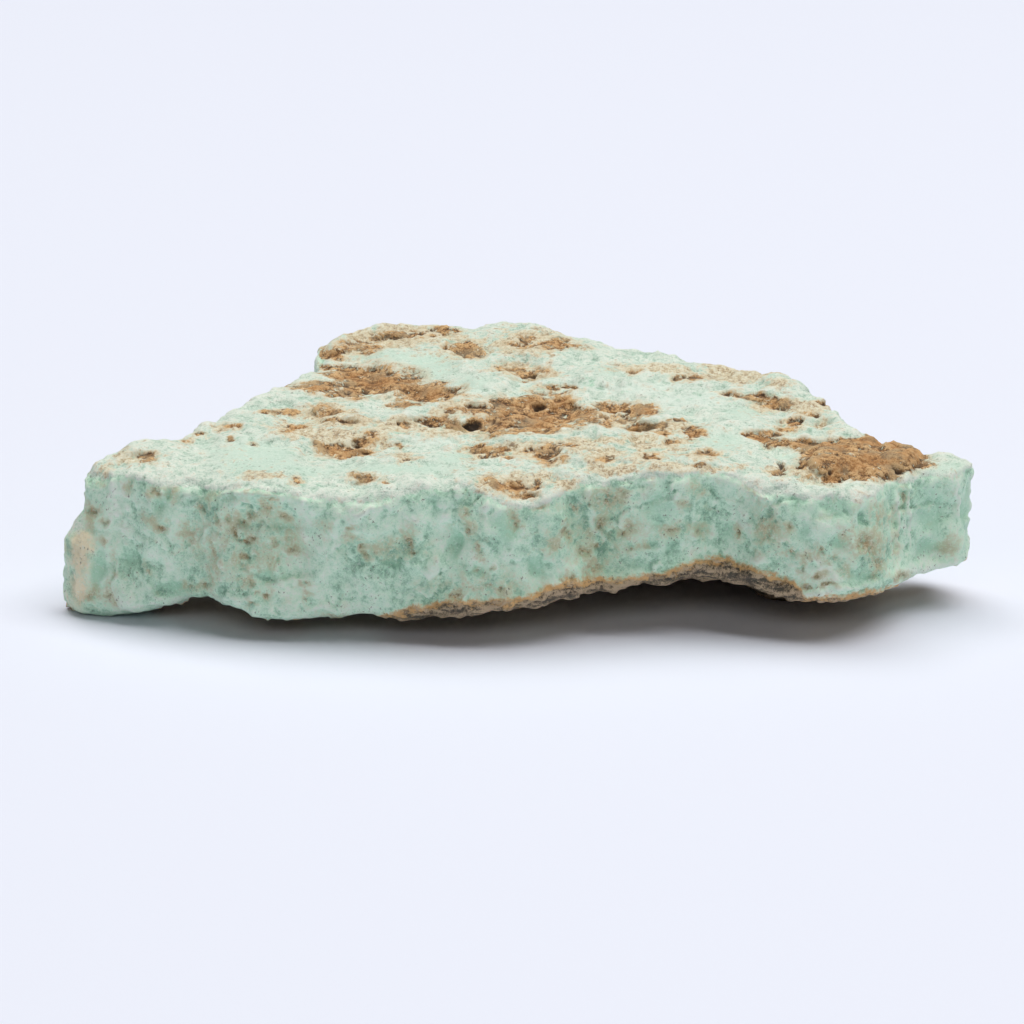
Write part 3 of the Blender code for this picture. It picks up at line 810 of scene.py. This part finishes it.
# The back and the ends have the same kinds of marks, strewn at random.
behind = 1 - front
stain_field = np.maximum(stain_field, behind * rise(lumps(points, 4.0, 31, 3), 0.25, 0.9) * 0.8)
clean_field = np.maximum(clean_field, behind * rise(lumps(points, 5.0, 32, 2), 0.10, 0.6))
crest_field = np.maximum(crest_field, behind * rise(lumps(points, 3.6, 33, 2), 0.25, 0.8))

glassy = rise(clean_field, 0.3, 0.7)
side_move = np.zeros(count)
for seed, size in enumerate(BREAK_SIZES, 34):
    side_move += BREAK_LEAN * flat_breaks(points + BREAK_RAGGED * np.stack(wander, axis=1), size, seed)
side_move += FLUTES * lumps(points * (1, 1, 0.3), 2.0, 38, 2)
side_grain = SIDE_LUMPS * lumps(points, 1.1, 39, 2) + SIDE_GRAIN * lumps(points, 0.6, 40)
side_move += side_grain * (1 - 0.6 * glassy)
side_move -= SIDE_NICKS * np.abs(lumps(points, 0.9, 41, 2)) * (1 - glassy)
steps = rise(crest_field, 0.2, 0.8) - rise(clean_field, 0.2, 0.9)
side_move += (CREST_STEP + FRONT_CREST_STEP * front) * steps
side_move -= STAIN_SINK * rise(stain_field, 0.35, 0.9)
move += side * (side_move + SWELL_RISE * patches(SWELL))

# --- The stone: layered lip along the lower edge --------------------------------------------------
# The lower skin is rind too. It shows from the front as a thin ragged lip, orange where it meets
# the green and dark grey-brown below; towards the left end it thins out to nothing.

LIP_LAYER = 0.36  # thickness of its layers
LIP_DEEPEST = 2.0  # from its upper edge down, millimetres
LIP_TAPER = 0.30  # how much it thins for each millimetre beyond its ends
LIP_RAGGED = 0.25
LIP_EDGE = (0.47, 0.56)
LIP_STANDS = 0.28  # how far its layers stand out
LEDGE_DEPTH = 0.26
LEDGE_WAVES = 0.30
LIP_LUMPS = 0.14
UNDERSIDE_LUMPS = 0.25
UNDERSIDE_LUMP_WIDTH = 2.4
UNDERSIDE_LEAN = 0.15
UNDERSIDE_BREAK_SIZE = 3.2

# Its upper edge from left to right, as places in the frame.
LIP_TOP = [
    (445, 600), (520, 598), (565, 580), (600, 578), (640, 577), (670, 569), (700, 560), (720, 556),
    (740, 563), (760, 570), (780, 577), (795, 580), (805, 596), (870, 590),
]

lip_line = np.array([seen(*place) for place in LIP_TOP])
below_line = np.interp(x, lip_line[:, 0], lip_line[:, 2]) - z
beyond_ends = np.maximum(lip_line[0, 0] - x, x - lip_line[-1, 0])
below_line += LIP_RAGGED * lumps(points, 1.6, 43, 3) - LIP_TAPER * np.maximum(beyond_ends, 0)
lip_field = front * (1 - top) * np.clip(0.5 + below_line / (2 * LIP_DEEPEST), 0, 1)
away = under * (1 - rise(front, 0.5, 0.9))
lip_field = np.maximum(lip_field, away * (0.60 + 0.3 * lumps(points, 6.0, 42, 3)))
lipped = rise(lip_field, *LIP_EDGE)
ledge = (z + LEDGE_WAVES * lumps(points, 3.0, 44, 3)) / LIP_LAYER
ledged = rise(np.abs(ledge - np.floor(ledge) - 0.5), 0.15, 0.45)
lip_move = LIP_STANDS - LEDGE_DEPTH * ledged + LIP_LUMPS * lumps(points, 0.9, 45, 2)
move += lipped * (1 - top) * lip_move
move += under * UNDERSIDE_LUMPS * lumps(points, UNDERSIDE_LUMP_WIDTH, 46, 3)
move += away * UNDERSIDE_LEAN * flat_breaks(points, UNDERSIDE_BREAK_SIZE, 47)

# --- The stone: carved mesh -----------------------------------------------------------------------
# The stone as it lies there: all the carving above goes into the mesh in one move, with small
# chips along the rim. The mesh is then thinned where it is flat.

RIM_CHIPS = 0.08
HOLLOW_ROUNDS = 6
HOLLOW_GAIN = 2.2  # for each millimetre that a point lies above or below those around it

way = even * 0.5 + normals * 0.5
way /= np.linalg.norm(way, axis=1)[:, None]
before = points.copy()
points = points + way * move[:, None]
points += way * (RIM_CHIPS * rim * lumps(before, 1.4, 51, 3))[:, None]
points[:, 2] = np.maximum(points[:, 2], 0)
normals_now()

# how far each point lies in a hollow (below 0.5) or on a crest (above 0.5)
bent = np.stack([spread(points[:, axis], HOLLOW_ROUNDS) for axis in range(3)], axis=1)
crestness = np.clip(0.5 + HOLLOW_GAIN * ((points - bent) * way).sum(axis=1), 0, 1)

ATTRIBUTES = {
    "top": top,
    "rind": rind_field,
    "hole": hole_field,
    "smooth": smooth_field,
    "white": white_field,
    "tan": tan_field,
    "clean": clean_field,
    "stain": stain_field,
    "crest": crest_field,
    "peach": peach_field,
    "lip": lip_field,
    "crestness": crestness,
}
for name, values in ATTRIBUTES.items():
    mesh.attributes.new(name, "FLOAT", "POINT").data.foreach_set("value", values.astype(np.float32))

carved = add("carved_stone", mesh)
fewer = carved.modifiers.new("fewer triangles", "DECIMATE")
fewer.ratio = min(1.0, MOST_TRIANGLES / (2 * len(mesh.polygons)))
fewer.use_collapse_triangulate = True
stone_mesh = applied(carved, "chrysoprase_stone")
stone_mesh.shade_smooth()
stone = add("chrysoprase_stone", stone_mesh)

# --- The stone: its colours -----------------------------------------------------------------------
# Cloudy mint chalcedony with powdery white crests and clusters of tiny dark specks; cream skin with tan
# speckles; rust-brown rind with its crevices painted dark as shade. The colours carry painted shade in
# hollows and pits and painted highlights on crests. All colours are 8-bit display values.

GLASSY_GREEN = (170, 220, 190)
POWDER_GREEN = (230, 246, 230)
RUST_HAZE = (192, 190, 150)
BRIGHT_RUST = (208, 158, 104)
TAWNY = (208, 208, 170)
PEACHY = (250, 234, 200)
WORN_MINT = (200, 226, 210)
SUGARY_WHITE = (220, 235, 224)
THICK_RIND = (182, 130, 76)
GREY_RIND = (160, 146, 118)
RIND_HALO = (216, 204, 172)
LIP_ORANGE = (220, 174, 114)
PALE_GRAIN = (238, 250, 242)
DARK_SPECK = (98, 96, 76)
HOLE_SHADE = (92, 70, 50)
DEEP_HOLE_SHADE = (50, 42, 34)
ROUGHNESS = 0.64
GLASSY_SMOOTHER = 0.14  # how much less rough the glassy hollows are
RIND_ROUGHER = 0.25
BAND_WIDTH = 0.5
BUMP_STRENGTH = 0.7
BUMP_DEPTH = 0.00028  # metres

mineral = Finish("raw_chrysoprase")
share = {name: mineral.attribute(name) for name in ATTRIBUTES}
broad = mineral.noise(7.0, 2.0) - 0.5
cloud = mineral.noise(2.2, 4.0, 0.6, 0.3) - 0.5
mottle = mineral.noise(0.8, 5.0, 0.65, 0.2) - 0.5
speckle = mineral.noise(0.50, 4.0, 0.72, 0.4) - 0.5
sugar = mineral.noise(0.30, 4.0, 0.70) - 0.5
grain = mineral.noise(0.15, 2.0, 0.60) - 0.5
# hollow is above 0 in hollows and below 0 on crests; the ramps below use it for painted shade in the hollows
# and painted highlights on the crests
hollow = 0.5 - share["crestness"]


def ramp(value, *stops):
    """Colours from the lowest of a value to its highest."""
    colours = [(position, linear(*colour)) for position, colour in stops]
    return mineral.node("ShaderNodeValToRGB", {"stops": colours}, {"Fac": value})


# Broken chalcedony, painted darker in its hollows as shade and paler on its crests as highlight. Rust has
# crept into it.
depth = 0.51 + cloud * 0.65 + mottle * 0.60 + sugar * 0.40 + grain * 0.15 + broad * 0.6 - hollow * 0.45
depth = depth + share["crest"] * 0.06 - share["clean"] * 0.05
green = ramp(
    depth,
    (0.25, (140, 184, 158)),
    (0.40, (186, 227, 200)),
    (0.50, (214, 246, 222)),
    (0.60, (226, 251, 229)),
    (0.76, (242, 254, 240)),
)
glass = mineral.step(share["clean"] * (1 + cloud * 4.0 + mottle * 2.0), 0.05, 1.00)
green = mineral.blend(green, linear(*GLASSY_GREEN), glass * 0.75)
powder = mineral.step(share["crest"] * (1 + mottle * 2.5 + cloud * 1.5), 0.20, 0.80)
green = mineral.blend(green, linear(*POWDER_GREEN), powder * 0.60)
haze = mineral.step(share["stain"] ** 0.25 * (1 + cloud * 3.0 + mottle * 2.5 + sugar * 1.5), 0.22, 1.15)
green = mineral.blend(green, linear(*RUST_HAZE), haze * 0.75)
rusty = mineral.step(share["stain"] ** 0.8 * (1 + speckle * 4.5 + mottle * 4.0 + hollow * 0.6), 0.35, 1.30)
# the rust is painted a little darker in the hollows, as shade
rust = ramp(
    0.5 + sugar + speckle - hollow * 0.2,
    (0.34, (112, 96, 72)),
    (0.47, (172, 154, 118)),
    (0.62, (210, 202, 168)),
)
orange = mineral.step(share["stain"], 0.80, 1.10)
rust = mineral.blend(rust, linear(*BRIGHT_RUST), orange * 0.6)
green = mineral.blend(green, rust, rusty * 0.80)
tawny = mineral.step(mineral.noise(1.6, 4.0, 0.65, 0.6), 0.55, 0.72)
green = mineral.blend(green, linear(*TAWNY), tawny * 0.30)
worn = mineral.step(share["peach"] * (1 + mottle * 2.5), 0.03, 0.60)
green = mineral.blend(green, linear(*PEACHY), worn * 0.85)

# Skin of the upper face, painted darker in its hollows as shade and paler on its crests as highlight.
skin = ramp(
    0.5 + cloud * 0.6 + mottle * 0.7 + sugar * 0.6 + grain * 0.3 - hollow * 0.5,
    (0.26, (148, 174, 158)),
    (0.40, (192, 213, 198)),
    (0.52, (214, 228, 214)),
    (0.66, (231, 238, 227)),
)
mint = mineral.step(share["smooth"] + mottle * 1.5, 0.2, 0.7)
skin = mineral.blend(skin, linear(*WORN_MINT), mint * 0.70)
whitish = mineral.step(share["white"] + mottle * 2.0, 0.25, 0.75)
skin = mineral.blend(skin, linear(*SUGARY_WHITE), whitish * 0.65)
tanned = mineral.step(share["tan"] * 0.9 + cloud * 1.1 + mottle * 1.2, 0.10, 0.46)
# the tan is painted darker in the hollows as shade and paler on the crests as highlight
tan = ramp(
    0.5 + speckle * 1.0 + sugar * 0.8 + grain * 0.3 + cloud * 0.5 + hollow * 0.5,
    (0.34, (230, 225, 202)),
    (0.50, (215, 204, 171)),
    (0.60, (194, 168, 128)),
    (0.74, (140, 113, 82)),
)

# Ironstone rind, painted darker in its crevices as shade and paler on its crests as highlight.
brown = ramp(
    0.5 + mottle * 0.9 + sugar * 0.9 + grain * 0.5 + cloud * 0.7 - hollow * 0.8,
    (0.29, (76, 54, 36)),
    (0.42, (140, 104, 66)),
    (0.55, (186, 146, 98)),
    (0.71, (218, 184, 136)),
)
thick = mineral.step(share["rind"] + cloud * 1.5, 0.60, 1.15)
brown = mineral.blend(brown, linear(*THICK_RIND), thick * 0.50)
greyed = mineral.step(mineral.noise(2.4, 3.0, 0.6, 0.5), 0.46, 0.64)
brown = mineral.blend(brown, linear(*GREY_RIND), greyed * 0.50)

skinned = mineral.step(share["top"] + mottle * 1.5 + cloud, 0.35, 0.90)
surface = mineral.blend(green, skin, skinned)
surface = mineral.blend(surface, tan, tanned * 0.90 * mineral.step(share["top"], 0.05, 0.45))
haloed = mineral.step(share["rind"] * (1 + mottle * 2.0) * share["top"], 0.04, 0.16)
surface = mineral.blend(surface, linear(*RIND_HALO), haloed * 0.45)
covered = mineral.step(share["rind"] * (1 + speckle * 3.5 + mottle * 2.0), 0.14, 0.42)
surface = mineral.blend(surface, brown, covered)

# Lip and underside, banded like the layers, and painted darker in their hollows as shade.
flattened = mineral.node(
    "ShaderNodeMapping", {"vector_type": "POINT"}, {"Vector": mineral.place, "Scale": (0.25, 0.25, 1)}
)
bands = {"Vector": flattened, "Scale": 1 / (BAND_WIDTH * MM), "Detail": 4.0}
banded = mineral.node("ShaderNodeTexNoise", {}, bands)
inner = ramp(
    banded + sugar * 0.5 + grain * 0.4 - hollow * 0.4,
    (0.38, (68, 54, 42)),
    (0.50, (118, 96, 74)),
    (0.66, (190, 164, 132)),
)
inside = mineral.step(share["lip"] + mottle * 0.5 + (banded - 0.5) * 0.5, 0.55, 0.68)
lip_brown = mineral.blend(linear(*LIP_ORANGE), inner, inside)
on_lip = mineral.step(share["lip"] + speckle * 0.2 + mottle * 0.3, 0.42, 0.57)
surface = mineral.blend(surface, lip_brown, on_lip * 0.95)

# Sugary pale grains, tiny dark specks in clusters, and painted shade in the holes.
pale_grains = mineral.step(mineral.noise(0.26, 2.0, 0.6), 0.56, 0.66) * (1 - covered) * (1 - on_lip)
surface = mineral.blend(surface, linear(*PALE_GRAIN), pale_grains * 0.35)
specks = mineral.step(mineral.noise(0.34, 3.0, 0.65), 0.60, 0.69)
specks = specks * mineral.step(mineral.noise(2.6, 3.0, 0.6), 0.44, 0.60)
surface = mineral.blend(surface, linear(*DARK_SPECK), specks * 0.75)
# painted shade: the pits are dim towards their middles and black in the deepest
dim = mineral.step(share["hole"] * (1 + speckle * 3.0 + mottle * 2.5 + hollow * 0.5), 0.40, 1.00)
surface = mineral.blend(surface, linear(*HOLE_SHADE), dim * 0.8)
black = mineral.step(share["hole"] * (1 + speckle * 1.5 + mottle * 1.5), 0.75, 1.20)
surface = mineral.blend(surface, linear(*DEEP_HOLE_SHADE), black * 0.9)

height = mottle * 0.5 + sugar * 0.6 + grain * 0.2
bump = mineral.node(
    "ShaderNodeBump", {}, {"Strength": BUMP_STRENGTH, "Distance": BUMP_DEPTH, "Height": height}, "Normal"
)
roughness = ROUGHNESS - glass * GLASSY_SMOOTHER + covered * RIND_ROUGHER
mineral.set(Base_Color=surface, Roughness=roughness, Normal=bump)
stone_mesh.materials.append(mineral.material)
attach(stone, "root")
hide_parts("chrysoprase")
